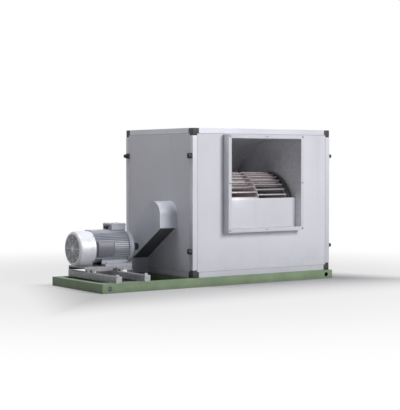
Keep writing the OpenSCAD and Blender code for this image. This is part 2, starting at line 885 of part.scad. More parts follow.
// The outline of the guard, drawn in by a given distance
function low_z(y, inset) = corner_z + low_slope * (y - guard_front) + inset * low_stretch;
function top_point(inset) = nose + (top_r - inset) * [cos(top_angle), sin(top_angle)];
function top_z(y, inset) =
  top_point(inset)[1] - (y - top_point(inset)[0]) * cos(top_angle) / sin(top_angle);

module guard_area(inset) {
  front = guard_front + guard_seam + inset;
  translate(nose) circle(r = guard_r - inset, $fn = 96);
  polygon([
    [front, nose[1]],
    [front, low_z(front, inset)],
    [leg_y + inset, low_z(leg_y + inset, inset)],
    [leg_y + inset, base_h],
    [back_y - inset, base_h],
    [back_y - inset, top_z(back_y - inset, inset)],
    top_point(inset),
    nose
  ]);
}

// Screws on the guard flange, at the front corner, the nose, the knee and the back
function guard_screw_points() = [
  [guard_front + guard_flange / 2, low_z(guard_front, guard_flange)],
  nose + (guard_r - guard_flange / 2) * [cos(top_angle), sin(top_angle)],
  [back_y - guard_flange / 2, shoulder_z - guard_flange],
  [back_y - guard_flange / 2, base_h + guard_flange],
  [leg_y + guard_flange / 2, base_h + guard_flange]
];

module belt_guard() {
  color(panel_white) translate([cab_x - guard_depth, 0, 0]) along_x() {
    linear_extrude(guard_t) difference() {
      guard_area(0);
      translate([motor_y - motor_shaft_d, motor_z]) slot(2.5 * motor_shaft_d, motor_shaft_d + guard_flange);
    }
    linear_extrude(guard_depth) difference() {
      guard_area(0);
      guard_area(guard_t);
    }
    translate([0, 0, guard_depth - guard_t]) linear_extrude(guard_t) difference() {
      guard_area(0);
      guard_area(guard_flange);
      for (p = guard_screw_points()) translate(p) circle(d = guard_screw_d, $fn = 24);
    }
  }
}

module guard_screws() {
  color(silver) for (p = guard_screw_points())
    translate([cab_x - guard_t, p[0], p[1]]) rotate([0, -90, 0]) {
      cylinder(d = 1.8 * guard_screw_d, h = guard_screw_d / 2, $fn = 32);
      translate([0, 0, -guard_t]) cylinder(d = guard_screw_d, h = guard_t + guard_screw_d / 4, $fn = 32);
    }
}

// Belts and pulleys

// A belt section, with x as the distance from the pulley axis
module belt_section(pitch_r) {
  top_r = pitch_r + belt_rise;
  half = belt_top_w / 2;
  foot = half - belt_thick * belt_slope;
  polygon([
    [top_r, -half], [top_r, half],
    [top_r - belt_thick, foot], [top_r - belt_thick, -foot]
  ]);
}

// A straight run of belt from the fan pulley, run on a little into both arcs
module belt_run() {
  translate([0, span_lap, 0]) rotate([90, 0, 0]) linear_extrude(span_l + 2 * span_lap) belt_section(fan_r);
}

module belt_loop() {
  along_x() {
    rotate([0, 0, drive_angle + wrap_angle]) {
      rotate_extrude(angle = 360 - 2 * wrap_angle) belt_section(fan_r);
      belt_run();
    }
    rotate([0, 0, drive_angle - wrap_angle]) translate([0, span_l, 0]) belt_run();
    translate([motor_back, motor_z - fan_z, 0]) rotate([0, 0, drive_angle - wrap_angle])
      rotate_extrude(angle = 2 * wrap_angle) belt_section(drive_r);
  }
}

module drive_belts() {
  color(rubber) for (i = [0 : belt_n - 1])
    translate([belt_x + (i - (belt_n - 1) / 2) * belt_pitch, fan_y, fan_z]) belt_loop();
}

// A grooved pulley about its own axis, from -w/2 to w/2, with a bore
module pulley(pitch_r, bore_r) {
  outer_r = pitch_r + pulley_lip;
  groove_r = pitch_r + belt_rise - belt_thick - groove_foot;
  slope_gap = groove_gap + (outer_r - pitch_r - belt_rise) * belt_slope;
  foot = belt_top_w / 2 - (belt_thick + groove_foot) * belt_slope + groove_gap;
  rotate_extrude($fn = 144) difference() {
    translate([bore_r, -pulley_w / 2]) square([outer_r - bore_r, pulley_w]);
    for (i = [0 : belt_n - 1])
      translate([0, (i - (belt_n - 1) / 2) * belt_pitch]) polygon([
        [outer_r, -belt_top_w / 2 - slope_gap], [outer_r, belt_top_w / 2 + slope_gap],
        [groove_r, foot], [groove_r, -foot]
      ]);
  }
}

module fan_pulley() {
  web_r = (fan_r + shaft_d) / 2;
  color(dark_steel) at_fan(belt_x) difference() {
    pulley(fan_r, shaft_d / 2);
    for (a = [0 : 90 : 270]) rotate([0, 0, a + 45])
      translate([web_r, 0, -pulley_w]) cylinder(r = shaft_d / 6, h = 2 * pulley_w, $fn = 32);
  }
}

module motor_pulley() {
  color(dark_steel) translate([belt_x, motor_y, motor_z]) along_x() pulley(drive_r, motor_shaft_d / 2);
}

// Wheel

module fan_shaft() {
  shaft_end = outlet_x + sheet_x + bearing_out + pillow_w;
  color(silver) at_fan(belt_x - shaft_out) cylinder(d = shaft_d, h = shaft_end - belt_x + shaft_out);
}

module wheel_disc() {
  color(dark_steel) at_fan(outlet_x) difference() {
    union() {
      translate([0, 0, -disc_t / 2]) cylinder(r = wheel_r, h = disc_t, $fn = 144);
      translate([0, 0, -hub_l / 2]) cylinder(d = hub_d, h = hub_l);
    }
    translate([0, 0, -hub_l]) cylinder(d = shaft_d, h = 2 * hub_l);
  }
}

// A forward curved blade: an arc strip from the root radius to the tip radius
module blade() {
  translate(blade_centre) rotate([0, 0, blade_first])
    rotate_extrude(angle = blade_bend, $fn = 96)
      translate([blade_r - blade_t / 2, 0]) square([blade_t, blade_l]);
}

module wheel_blades() {
  color(silver) at_fan(outlet_x) for (k = [0, 1]) mirror([0, 0, k]) translate([0, 0, disc_t / 2])
    for (i = [0 : blade_n - 1]) rotate([0, 0, (i + k / 2) * 360 / blade_n]) blade();
}

// An end ring: a flat ring over the blade ends and a rim outside the tips
module wheel_rings() {
  color(black) at_fan(outlet_x) for (k = [0, 1]) mirror([0, 0, k])
    translate([0, 0, wheel_w / 2 - ring_wall]) rotate_extrude($fn = 144) {
      translate([wheel_r - ring_depth, 0]) square([ring_depth, ring_wall]);
      translate([wheel_r - ring_lap + slide_gap, ring_wall - ring_w]) square([ring_lap - slide_gap, ring_w]);
    }
}

// Motor, drawn from the shaft shoulder: z runs back, x up and y to the back

module at_motor() {
  translate([motor_x, motor_y, motor_z]) rotate([0, -90, 0]) children();
}

module foot_places() {
  for (y = [-foot_a / 2, foot_a / 2]) for (z = [foot_c, foot_c + foot_b])
    translate([-motor_rise, y, z]) children();
}

module motor_frame() {
  wall_r = frame_r - fin_depth;
  color(silver) at_motor() difference() {
    union() {
      translate([0, 0, shield_l]) cylinder(r = wall_r, h = frame_l, $fn = 96);
      for (z = [shield_l, frame_back - fin_depth])
        translate([0, 0, z]) cylinder(r = frame_r - fin_t, h = fin_depth, $fn = 96);
      for (side = [0, 1]) mirror([0, side, 0]) for (i = [0 : fin_n - 1])
        rotate([0, 0, fin_from + i * fin_arc / (fin_n - 1)])
          translate([wall_r - fin_t, -fin_t / 2, shield_l + fin_t / 2])
            cube([fin_depth + fin_t, fin_t, frame_l - fin_t]);
      for (side = [0, 1]) mirror([0, side, 0]) {
        translate([-motor_rise, foot_a / 2 - foot_pad, foot_c - foot_pad / 2])
          cube([foot_t, foot_pad * 1.5, foot_len]);
        translate([-motor_rise, foot_a / 2 - foot_pad, foot_c - foot_pad / 2])
          cube([motor_rise - wall_r / 2, foot_t * 0.8, foot_len]);
      }
      translate([frame_r - fin_depth - fin_t, -box_w * 0.35, shield_l + fin_depth])
        cube([fin_depth + fin_t + pad_rise, box_w * 0.7, frame_l - 2 * fin_depth]);
    }
    translate([0, 0, shield_l - cut]) cylinder(r = core_r, h = frame_l + 2 * cut, $fn = 96);
    foot_places() rotate([0, 90, 0]) translate([0, 0, -cut])
      cylinder(d = foot_bolt_d, h = foot_t + 2 * cut, $fn = 32);
  }
}

module stator_core() {
  color(dark_steel) at_motor() translate([0, 0, shield_l + core_inset]) difference() {
    cylinder(r = core_r, h = frame_l - 2 * core_inset, $fn = 96);
    translate([0, 0, -cut]) cylinder(r = rotor_r + air_gap, h = frame_l, $fn = 96);
  }
}

// A domed end shield: its rim on the frame, its boss round the bearing
module shield(l) {
  rotate_extrude($fn = 96) polygon([
    [shaft_core_r, 0], [boss_r, 0], [boss_r + shield_t, shield_t],
    [frame_r * 0.78, l * 0.35], [frame_r - fin_t, l * 0.72], [frame_r - fin_t, l],
    [core_r - shield_t, l], [frame_r * 0.74, l * 0.6],
    [bearing_r + shield_t, l * 0.6], [bearing_r + shield_t, bearing_w + shield_t],
    [bearing_r, bearing_w + shield_t], [bearing_r, shield_t], [shaft_core_r, shield_t]
  ]);
}

module drive_shield() {
  color(silver) at_motor() shield(shield_l);
}

module rear_shield() {
  color(silver) at_motor() translate([0, 0, rear_z]) mirror([0, 0, 1]) shield(shield_l * 0.8);
}

module motor_bearings() {
  color(dark_steel) at_motor() for (z = [shield_t, rear_z - shield_t - bearing_w])
    translate([0, 0, z]) difference() {
      cylinder(r = bearing_r, h = bearing_w);
      translate([0, 0, -cut]) cylinder(r = bearing_d / 2 + run_gap, h = bearing_w + 2 * cut);
    }
}

// The cowl slips over the frame end; its end is a ring grille
module fan_cowl() {
  start = frame_back - fin_depth;
  cowl_in = norm([frame_r, fin_t / 2]);
  grille_r = cowl_r * 0.84;
  dome = cowl_r - grille_r;
  ring = grille_r / (grille_rings - 0.7);
  color(silver) at_motor() difference() {
    rotate_extrude($fn = 96) {
      translate([cowl_in, start]) square([cowl_r - cowl_in, cowl_end - dome - start]);
      translate([grille_r, cowl_end - dome]) intersection() {
        difference() {
          circle(r = dome);
          circle(r = dome - cowl_t);
        }
        square([dome, dome]);
      }
      translate([0, cowl_end - cowl_t]) square([grille_r + cut, cowl_t]);
    }
    for (i = [2 : grille_rings - 1]) difference() {
      translate([0, 0, cowl_end - 2 * cowl_t])
        cylinder(r = i * ring, h = 4 * cowl_t);
      translate([0, 0, cowl_end - 3 * cowl_t]) {
        cylinder(r = i * ring - grille_bar * 2.5, h = 6 * cowl_t);
        for (a = [0 : 45 : 135]) rotate([0, 0, a]) translate([-cowl_r, -grille_bar / 2, 0])
          cube([2 * cowl_r, grille_bar, 6 * cowl_t]);
      }
    }
  }
}

module terminal_box() {
  color(silver) at_motor() difference() {
    translate([box_r, -box_w / 2, box_z]) cube([box_h, box_w, box_l]);
    translate([box_r + cowl_t * 2, -box_w / 2 + cowl_t * 2, box_z + cowl_t * 2])
      cube([box_h, box_w - 4 * cowl_t, box_l - 4 * cowl_t]);
    translate([box_r + box_h / 2, 0, box_z + box_l - 4 * cowl_t])
      cylinder(d = gland_d, h = 6 * cowl_t, $fn = 48);
  }
}

module terminal_lid() {
  over = cowl_t;
  color(silver) at_motor() {
    translate([box_r + box_h, -box_w / 2 - over, box_z - over])
      cube([lid_t * 0.6, box_w + 2 * over, box_l + 2 * over]);
    translate([box_r + box_h + lid_t * 0.6, -box_w / 2 + 2 * over, box_z + 2 * over])
      cube([lid_t * 0.4, box_w - 4 * over, box_l - 4 * over]);
  }
}

module cable_gland() {
  color(dark_steel) at_motor() translate([box_r + box_h / 2, 0, box_z + box_l]) difference() {
    union() {
      translate([0, 0, -4 * cowl_t]) cylinder(d = gland_d, h = 8 * cowl_t, $fn = 48);
      cylinder(d = gland_d * 1.4, h = gland_d * 0.4, $fn = 6);
      translate([0, 0, gland_d * 0.4]) cylinder(d = gland_d * 1.25, h = gland_d * 0.7, $fn = 48);
    }
    translate([0, 0, -gland_d]) cylinder(d = gland_bore, h = 3 * gland_d, $fn = 48);
  }
}

// Motor plate on the rails: a folded plate with skirts in front and behind
module motor_plate() {
  color(zinc) difference() {
    translate([plate_x - plate_l / 2, plate_y, plate_z]) cube([plate_l, plate_w, plate_h]);
    translate([plate_x - plate_l / 2 - cut, plate_y + plate_t, plate_z - cut])
      cube([plate_l + 2 * cut, plate_w - 2 * plate_t, plate_h - plate_t + cut]);
    at_motor() foot_places() rotate([0, 90, 0]) translate([0, 0, -plate_t - cut])
      cylinder(d = foot_bolt_d, h = plate_t + 2 * cut, $fn = 32);
  }
}

module motor_bolts() {
  color(silver) at_motor() foot_places() rotate([0, 90, 0]) {
    translate([0, 0, foot_t]) cylinder(d = 1.8 * foot_bolt_d, h = 0.7 * foot_bolt_d, $fn = 6);
    translate([0, 0, -plate_t - 0.5 * foot_bolt_d])
      cylinder(d = foot_bolt_d, h = foot_t + plate_t + foot_bolt_d, $fn = 32);
  }
}

module motor_shaft() {
  core_from = shield_t + bearing_w;
  core_to = rear_z - shield_t - bearing_w;
  color(silver) at_motor() {
    translate([0, 0, -motor_shaft_l]) cylinder(d = motor_shaft_d, h = motor_shaft_l + cut);
    cylinder(d = bearing_d, h = core_from + cut);
    translate([0, 0, core_from]) cylinder(r = shaft_core_r, h = core_to - core_from);
    translate([0, 0, core_to - cut]) cylinder(d = bearing_d, h = cowl_end - fan_inset - core_to);
  }
}

module rotor_core() {
  color(dark_steel) at_motor() translate([0, 0, shield_l + core_inset]) difference() {
    cylinder(r = rotor_r, h = frame_l - 2 * core_inset, $fn = 96);
    translate([0, 0, -cut]) cylinder(r = shaft_core_r, h = frame_l);
  }
}

module cooling_fan() {
  hub_z = rear_z + shield_t;
  blade_z = cowl_end - fan_inset - cowl_t * 4 - hub_z;
  color(black) at_motor() translate([0, 0, hub_z]) difference() {
    union() {
      cylinder(d = bearing_d * 1.6, h = blade_z);
      cylinder(r = cowl_r * 0.76, h = fin_t);
      for (a = [0 : 45 : 315]) rotate([0, 0, a])
        translate([bearing_d * 0.7, -fin_t / 2, 0]) cube([cowl_r * 0.76 - bearing_d * 0.7, fin_t, blade_z]);
    }
    translate([0, 0, -cut]) cylinder(d = bearing_d, h = blade_z + 2 * cut);
  }
}

base_front_beam();
base_back_beam();
base_left_beam();
base_right_beam();
base_cross_beams();
motor_rails();
tension_screws();
rail_bolts();
frame_posts();
frame_rails();
corner_pieces();
front_panel();
back_panel();
left_panel();
right_panel();
top_panel();
bottom_panel();
clip_screws();
outlet_collar();
inlet_collar();
scroll_wrap();
scroll_side_left();
scroll_side_right();
cutoff_plate();
inlet_cones();
blower_feet();
rubber_mounts();
bearing_brackets();
fan_bearings();
belt_guard();
guard_screws();
drive_belts();
clip_left_front_upper();
clip_left_front_lower();
clip_left_back_upper();
clip_left_back_lower();
clip_right_front_upper();
clip_right_front_lower();
clip_right_back_upper();
clip_right_back_lower();
motor_plate();
motor_frame();
drive_shield();
rear_shield();
fan_cowl();
terminal_box();
terminal_lid();
cable_gland();
motor_bolts();
stator_core();
motor_bearings();
motor_shaft();
rotor_core();
cooling_fan();
motor_pulley();
fan_shaft();
wheel_disc();
wheel_blades();
wheel_rings();
fan_pulley();
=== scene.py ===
import math

import bmesh
import bpy
import numpy as np
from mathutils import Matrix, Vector

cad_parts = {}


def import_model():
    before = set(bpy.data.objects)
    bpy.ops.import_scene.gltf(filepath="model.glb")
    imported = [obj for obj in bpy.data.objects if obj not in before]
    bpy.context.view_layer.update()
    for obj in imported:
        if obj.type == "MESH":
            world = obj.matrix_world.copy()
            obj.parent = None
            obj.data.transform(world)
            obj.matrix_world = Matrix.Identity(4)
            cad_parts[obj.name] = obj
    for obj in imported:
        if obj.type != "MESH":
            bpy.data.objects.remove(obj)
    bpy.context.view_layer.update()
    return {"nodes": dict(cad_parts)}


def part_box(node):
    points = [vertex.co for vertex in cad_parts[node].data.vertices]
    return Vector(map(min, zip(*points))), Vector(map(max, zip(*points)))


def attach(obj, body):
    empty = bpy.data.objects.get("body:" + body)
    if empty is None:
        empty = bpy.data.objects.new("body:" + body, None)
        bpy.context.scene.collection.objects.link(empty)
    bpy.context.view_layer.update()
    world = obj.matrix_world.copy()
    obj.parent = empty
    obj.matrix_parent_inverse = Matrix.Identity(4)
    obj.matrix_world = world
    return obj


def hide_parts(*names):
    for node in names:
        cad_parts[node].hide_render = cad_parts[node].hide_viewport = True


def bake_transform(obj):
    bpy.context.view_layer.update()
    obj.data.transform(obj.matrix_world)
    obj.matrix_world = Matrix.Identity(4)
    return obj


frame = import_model()


# Shader maths

class Value:
    """A socket of a node tree; sums, differences and products of it add Math nodes."""

    def __init__(self, nodes, socket):
        self.nodes = nodes
        self.socket = socket

    def math(self, operation, *others):
        """Adds one Math node whose first input is this value."""
        links = dict(enumerate([self, *others]))
        return self.nodes.node("ShaderNodeMath", {"operation": operation}, links)

    def __add__(self, other):
        return self.math("ADD", other)

    def __sub__(self, other):
        return self.math("SUBTRACT", other)

    def __mul__(self, other):
        return self.math("MULTIPLY", other)

    def __rsub__(self, other):
        return self.nodes.node("ShaderNodeMath", {"operation": "SUBTRACT"}, {0: other, 1: self})

    __radd__ = __add__
    __rmul__ = __mul__

    def over(self, edge, soft=0.05):
        """0 below the edge and 1 above it, with a soft step between."""
        inputs = {"Value": self, "From Min": edge - soft, "From Max": edge + soft}
        return self.nodes.node("ShaderNodeMapRange", {"interpolation_type": "SMOOTHSTEP"}, inputs)

    def peak(self, other):
        """The larger of two values."""
        return self.math("MAXIMUM", other)


class Nodes:
    """The node tree of a finish or of the studio's world."""

    def __init__(self, tree):
        self.tree = tree

    def node(self, kind, settings=None, inputs=None, out=0):
        """Adds a node: its settings first, then the values or links of its sockets."""
        made = self.tree.nodes.new(kind)
        for key, value in (settings or {}).items():
            setattr(made, key, value)
        for key, value in (inputs or {}).items():
            self.feed(made.inputs[key], value)
        return Value(self, made.outputs[out])

    def feed(self, socket, value):
        """Links a value to a socket, or sets a number or colour on it."""
        if isinstance(value, Value):
            self.tree.links.new(value.socket, socket)
        elif socket.type == "RGBA" and len(value) == 3:
            socket.default_value = (*value, 1)
        else:
            socket.default_value = value

    def seen(self):
        """1 on rays from the camera, gloss or glass, and 0 on rays that light the object."""
        rays = ("Is Camera Ray", "Is Glossy Ray", "Is Transmission Ray")
        camera_ray, gloss, glass = [self.node("ShaderNodeLightPath", out=ray) for ray in rays]
        return camera_ray.peak(gloss).peak(glass)


class Finish(Nodes):
    """One material with a Principled shader, and the nodes that feed it."""

    def __init__(self, name, **sockets):
        self.material = bpy.data.materials.new(name)
        self.material.use_nodes = True
        super().__init__(self.material.node_tree)
        self.shader = self.tree.nodes["Principled BSDF"]
        self.place = self.node("ShaderNodeTexCoord", out="Object")
        self.set(**sockets)

    def set(self, **sockets):
        """Feeds the shader's own sockets, as base_color for Base Color."""
        for key, value in sockets.items():
            name = key.replace("_", " ").title().replace("Ior", "IOR")
            self.feed(self.shader.inputs[name], value)

    def spread(self, x=1, y=1, z=1):
        """The place on the piece, drawn out along the axes."""
        return self.node("ShaderNodeMapping", None, {"Vector": self.place, "Scale": (x, y, z)})

    def noise(self, scale, detail=3, rough=0.5, where=None):
        """Cloudy noise from 0 to 1, with about scale clouds to the metre."""
        inputs = {"Vector": where or self.place, "Scale": scale, "Detail": detail, "Roughness": rough}
        return self.node("ShaderNodeTexNoise", None, inputs, "Fac")

    def cells(self, scale, out="Distance"):
        """Scattered cells, scale of them to the metre: the way to the middle, or a colour each."""
        return self.node("ShaderNodeTexVoronoi", None, {"Vector": self.place, "Scale": scale}, out)

    def part(self, axis):
        """The place along one axis, in metres; Z is the height above the floor."""
        return self.node("ShaderNodeSeparateXYZ", None, {0: self.place}, axis)

    def mix(self, share, a, b):
        """Colour a where the share is 0 and colour b where it is 1."""
        return self.node("ShaderNodeMix", {"data_type": "RGBA"}, {0: share, 6: a, 7: b}, 2)

    def bump(self, value, depth, strength=1.0):
        """Lets a value raise the surface by up to depth metres."""
        inputs = {"Height": value, "Distance": depth, "Strength": strength}
        self.set(normal=self.node("ShaderNodeBump", None, inputs))


def ink(red, green, blue):
    """A colour given as a screen shows it, 0 to 255, in linear light."""
    parts = np.array([red, green, blue]) / 255
    linear = np.where(parts <= 0.04045, parts / 12.92, ((parts + 0.055) / 1.055) ** 2.4)
    return tuple(float(v) for v in linear)


# Finishes

def coated_sheet(name, tone, shade, gloss=0.4):
    """Powder coat on sheet steel: fine orange peel, cloudy gloss and faint dust low down."""
    f = Finish(name, specular_ior_level=0.4)
    cloud = f.noise(2.3, 4)
    streaks = f.noise(9, 5, 0.6, f.spread(1, 1, 0.12))
    dust = (0.34 - f.part("Z")) * 1.6 * f.noise(14, 6, 0.7)
    base = f.mix(cloud.over(0.55, 0.25) * 0.7, tone, shade)
    base = f.mix(streaks.over(0.62, 0.08) * 0.16, base, ink(168, 168, 170))
    base = f.mix(dust.over(0.22, 0.16) * 0.3, base, ink(150, 146, 138))
    f.set(base_color=base, roughness=gloss + f.noise(5, 5, 0.6) * 0.16)
    f.bump(f.noise(620, 2) + f.noise(60, 2) * 1.6, 0.00012, 0.55)
    return f.material


def green_enamel():
    """Brushed green enamel on the base: brush tone, worn edges, scuffs, and painted shade in patches
    low down by the floor.
    """
    f = Finish("green_enamel", specular_ior_level=0.45)
    tone = f.noise(5, 5, 0.6)
    chips = f.cells(210) * 1.2 + f.noise(16, 6, 0.7)
    scuffs = f.noise(30, 6, 0.7, f.spread(0.25, 0.25, 2.5))
    # Painted shade: low is 1 at the floor and 0 about 4 cm up, and darkens the beams there in
    # patches.
    low = 1 - f.part("Z") * 26
    base = f.mix(tone.over(0.5, 0.2), ink(114, 134, 105), ink(132, 151, 121))
    base = f.mix(scuffs.over(0.63, 0.05) * 0.35, base, ink(170, 180, 158))
    base = f.mix((low * f.noise(22, 5, 0.7)).over(0.3, 0.25) * 0.45, base, ink(92, 96, 84))
    worn = 1 - chips.over(0.42, 0.02)
    base = f.mix(worn * 0.85, base, ink(70, 58, 46))
    f.set(base_color=base, roughness=0.42 + f.noise(24, 5, 0.6) * 0.24)
    f.bump(f.noise(90, 4) - worn * 1.4, 0.0004, 0.5)
    return f.material


def zinc_sheet(name, light=(168, 168, 172), dark=(132, 133, 138), metal=0.75):
    """Hot dip zinc: flat crystals that each have their own grey and gloss."""
    f = Finish(name, specular_ior_level=0.5)
    flake = f.node("ShaderNodeSeparateXYZ", None, {0: f.cells(95, "Color")}, "X")
    film = f.noise(4, 5, 0.6)
    base = f.mix(flake, ink(*dark), ink(*light))
    base = f.mix(film.over(0.6, 0.12) * 0.3, base, ink(120, 118, 116))
    f.set(base_color=base, metallic=metal, roughness=0.36 + flake * 0.2 + film * 0.1)
    f.bump(f.noise(160, 3) + flake * 0.4, 0.0001, 0.4)
    return f.material


def drawn_profile():
    """Drawn and coated frame profile: faint draw lines along each bar."""
    f = Finish("drawn_profile", specular_ior_level=0.5)
    lines = f.noise(700, 2, 0.5, f.spread(1, 1, 0.01)) + f.noise(700, 2, 0.5, f.spread(0.01, 1, 1))
    base = f.mix(f.noise(3, 4).over(0.5, 0.25), ink(203, 204, 212), ink(190, 191, 200))
    f.set(base_color=base, metallic=0.25, roughness=0.34 + f.noise(12, 4) * 0.14)
    f.bump(lines, 0.00005, 0.35)
    return f.material


def moulded_black(name, tone):
    """Moulded black plastic with a fine spark texture and rubbed, paler patches."""
    f = Finish(name, specular_ior_level=0.45)
    rub = f.noise(26, 5, 0.65)
    base = f.mix(rub.over(0.58, 0.12) * 0.5, ink(*tone), ink(78, 78, 82))
    f.set(base_color=base, roughness=0.48 + rub * 0.18)
    f.bump(f.noise(1500, 2) + f.noise(420, 2) * 0.5, 0.00009, 0.6)
    return f.material


def cast_paint(name, tone, shade, grain=260):
    """Paint on cast metal: the sand grain shows through, with dirt in the low places."""
    f = Finish(name, specular_ior_level=0.5)
    sand = f.noise(grain, 4, 0.6)
    grime = f.noise(11, 6, 0.7)
    base = f.mix(sand.over(0.5, 0.3) * 0.6, tone, shade)
    base = f.mix(grime.over(0.6, 0.1) * 0.35, base, tuple(0.55 * v for v in shade))
    f.set(base_color=base, metallic=0.15, roughness=0.36 + grime * 0.2)
    f.bump(sand + f.noise(45, 3), 0.00028, 0.55)
    return f.material


def turned_steel(name, tone=(176, 176, 180)):
    """Turned or ground steel, with fine rings and an oil film."""
    f = Finish(name, specular_ior_level=0.5)
    rings = f.noise(1300, 2, 0.5, f.spread(1, 0.02, 0.02))
    film = f.noise(30, 4, 0.6)
    base = f.mix(film.over(0.58, 0.14) * 0.6, ink(*tone), ink(128, 122, 112))
    f.set(base_color=base, metallic=0.95, roughness=0.22 + film * 0.2)
    f.bump(rings, 0.00004, 0.4)
    return f.material


def belt_rubber():
    """Black rubber with chalky dust and a cloth print."""
    f = Finish("belt_rubber", specular_ior_level=0.3)
    dust = f.noise(60, 6, 0.7)
    base = f.mix(dust.over(0.58, 0.14) * 0.5, ink(34, 34, 36), ink(82, 80, 78))
    f.set(base_color=base, roughness=0.72 + dust * 0.16)
    f.bump(f.noise(900, 3) + f.cells(500), 0.0001, 0.5)
    return f.material


def core_plates():
    """Stacked core plates: dark varnish with a line between the plates."""
    f = Finish("core_plates", specular_ior_level=0.4)
    plates = (f.part("X") * 2400).math("SINE")
    base = f.mix(plates.over(0, 0.7), ink(52, 48, 46), ink(88, 84, 82))
    f.set(base_color=base, metallic=0.5, roughness=0.5 + f.noise(40, 4) * 0.2)
    f.bump(plates, 0.0001, 0.5)
    return f.material


def blade_strip():
    """Pressed blade strip: warm pale grey with dust towards the tips."""
    f = Finish("blade_strip", specular_ior_level=0.5)
    dust = f.noise(50, 6, 0.7)
    lines = f.noise(500, 2, 0.5, f.spread(0.03, 1, 1))
    base = f.mix(dust.over(0.5, 0.2), ink(232, 222, 224), ink(198, 190, 192))
    f.set(base_color=base, metallic=0.15, roughness=0.4 + dust * 0.2)
    f.bump(lines, 0.00008, 0.4)
    return f.material


white_sheet = coated_sheet("white_sheet", ink(214, 214, 223), ink(205, 205, 214))
collar_sheet = coated_sheet("collar_sheet", ink(208, 208, 216), ink(198, 198, 206), 0.36)
guard_sheet = coated_sheet("guard_sheet", ink(208, 211, 221), ink(198, 201, 211), 0.26)
enamel = green_enamel()
zinc = zinc_sheet("zinc_sheet")
# Painted light: a lighter, less metallic copy of the zinc sheet, so that the scroll in the shaded
# inside of the housing reads brighter.
scroll_zinc_painted_light = zinc_sheet("scroll_zinc_painted_light", (214, 215, 220), (196, 197, 203), 0.2)
plate_zinc = zinc_sheet("plate_zinc", (190, 190, 196), (160, 161, 168), 0.25)
bar_coat = drawn_profile()
black = moulded_black("moulded_black", (50, 50, 54))
motor_paint = cast_paint("motor_paint", ink(186, 189, 198), ink(170, 173, 183))
cowl_paint = cast_paint("cowl_paint", ink(238, 240, 246), ink(228, 230, 238), 520)
iron_paint = cast_paint("iron_paint", ink(72, 74, 78), ink(54, 55, 58))
disc_paint = cast_paint("disc_paint", ink(176, 170, 172), ink(160, 154, 157), 520)
ring_paint = moulded_black("ring_paint", (36, 36, 38))
steel = turned_steel("turned_steel")
bolt_zinc = turned_steel("bolt_zinc", (156, 156, 160))
rubber = belt_rubber()
core = core_plates()
blades = blade_strip()
plate_grey = coated_sheet("plate_grey", ink(122, 124, 132), ink(110, 112, 120), 0.3)
seal_grey = moulded_black("seal_grey", (128, 128, 134))
# Painted shade: the dark finish of the louvred strip under the guard.
painted_shade_black = moulded_black("painted_shade_black", (78, 78, 82))

finishes = {
    "base_front_beam": enamel,
    "base_back_beam": enamel,
    "base_left_beam": enamel,
    "base_right_beam": enamel,
    "base_cross_beams": enamel,
    "motor_rails": plate_zinc,
    "tension_screws": bolt_zinc,
    "rail_bolts": bolt_zinc,
    "frame_posts": bar_coat,
    "frame_rails": bar_coat,
    "corner_pieces": black,
    "front_panel": white_sheet,
    "back_panel": white_sheet,
    "left_panel": white_sheet,
    "right_panel": white_sheet,
    "top_panel": white_sheet,
    "bottom_panel": white_sheet,
    "clip_screws": bolt_zinc,
    "outlet_collar": collar_sheet,
    "inlet_collar": collar_sheet,
    "scroll_wrap": scroll_zinc_painted_light,
    "scroll_side_left": scroll_zinc_painted_light,
    "scroll_side_right": scroll_zinc_painted_light,
    "cutoff_plate": collar_sheet,
    "inlet_cones": zinc,
    "blower_feet": zinc,
    "rubber_mounts": rubber,
    "bearing_brackets": zinc,
    "fan_bearings": iron_paint,
    "belt_guard": guard_sheet,
    "guard_screws": bolt_zinc,
    "drive_belts": rubber,
    "motor_plate": plate_zinc,
    "motor_frame": motor_paint,
    "drive_shield": motor_paint,
    "rear_shield": motor_paint,
    "fan_cowl": cowl_paint,
    "terminal_box": motor_paint,
    "terminal_lid": motor_paint,
    "cable_gland": black,
    "motor_bolts": bolt_zinc,
    "stator_core": core,
    "motor_bearings": steel,
    "motor_shaft": steel,
    "rotor_core": core,
    "cooling_fan": black,
    "motor_pulley": iron_paint,
    "fan_shaft": steel,
    "wheel_disc": disc_paint,
    "wheel_blades": blades,
    "wheel_rings": ring_paint,
    "fan_pulley": iron_paint,
}


def finish_of(node):
    """The finish of a CAD node; what has none of its own is moulded black, as the clips are."""
    return finishes.get(node, black)


for name, piece in frame["nodes"].items():
    piece.data.materials.clear()
    piece.data.materials.append(finish_of(name))


# Formed pieces

def quads(rows, columns, closed=False):
    """The quads between the neighbours of a grid whose columns meet, and its rows if closed."""
    row = np.arange(rows if closed else rows - 1)[:, None]
    column = np.arange(columns)[None, :]
    beside = (column + 1) % columns
    below = (row + 1) % rows
    here, under = row * columns, below * columns
    sides = (here + column, here + beside, under + beside, under + column)
    return np.stack(np.broadcast_arrays(*sides), -1).reshape(-1, 4).tolist()


def sheet_quads(rows, columns):
    """The quads between the neighbours of a grid with open borders."""
    corner = np.arange(rows - 1)[:, None] * columns + np.arange(columns - 1)[None, :]
    sides = (corner, corner + 1, corner + columns + 1, corner + columns)
    return np.stack(sides, -1).reshape(-1, 4).tolist()


def corner_turns(n):
    """The turns of four quarter arcs of n steps each, and the sides that they lie on."""
    turn = (np.arange(4)[:, None] + np.linspace(0, 1, n + 1)).ravel() * math.pi / 2
    side = np.repeat([[1, 1], [-1, 1], [-1, -1], [1, -1]], n + 1, axis=0)
    return turn, side


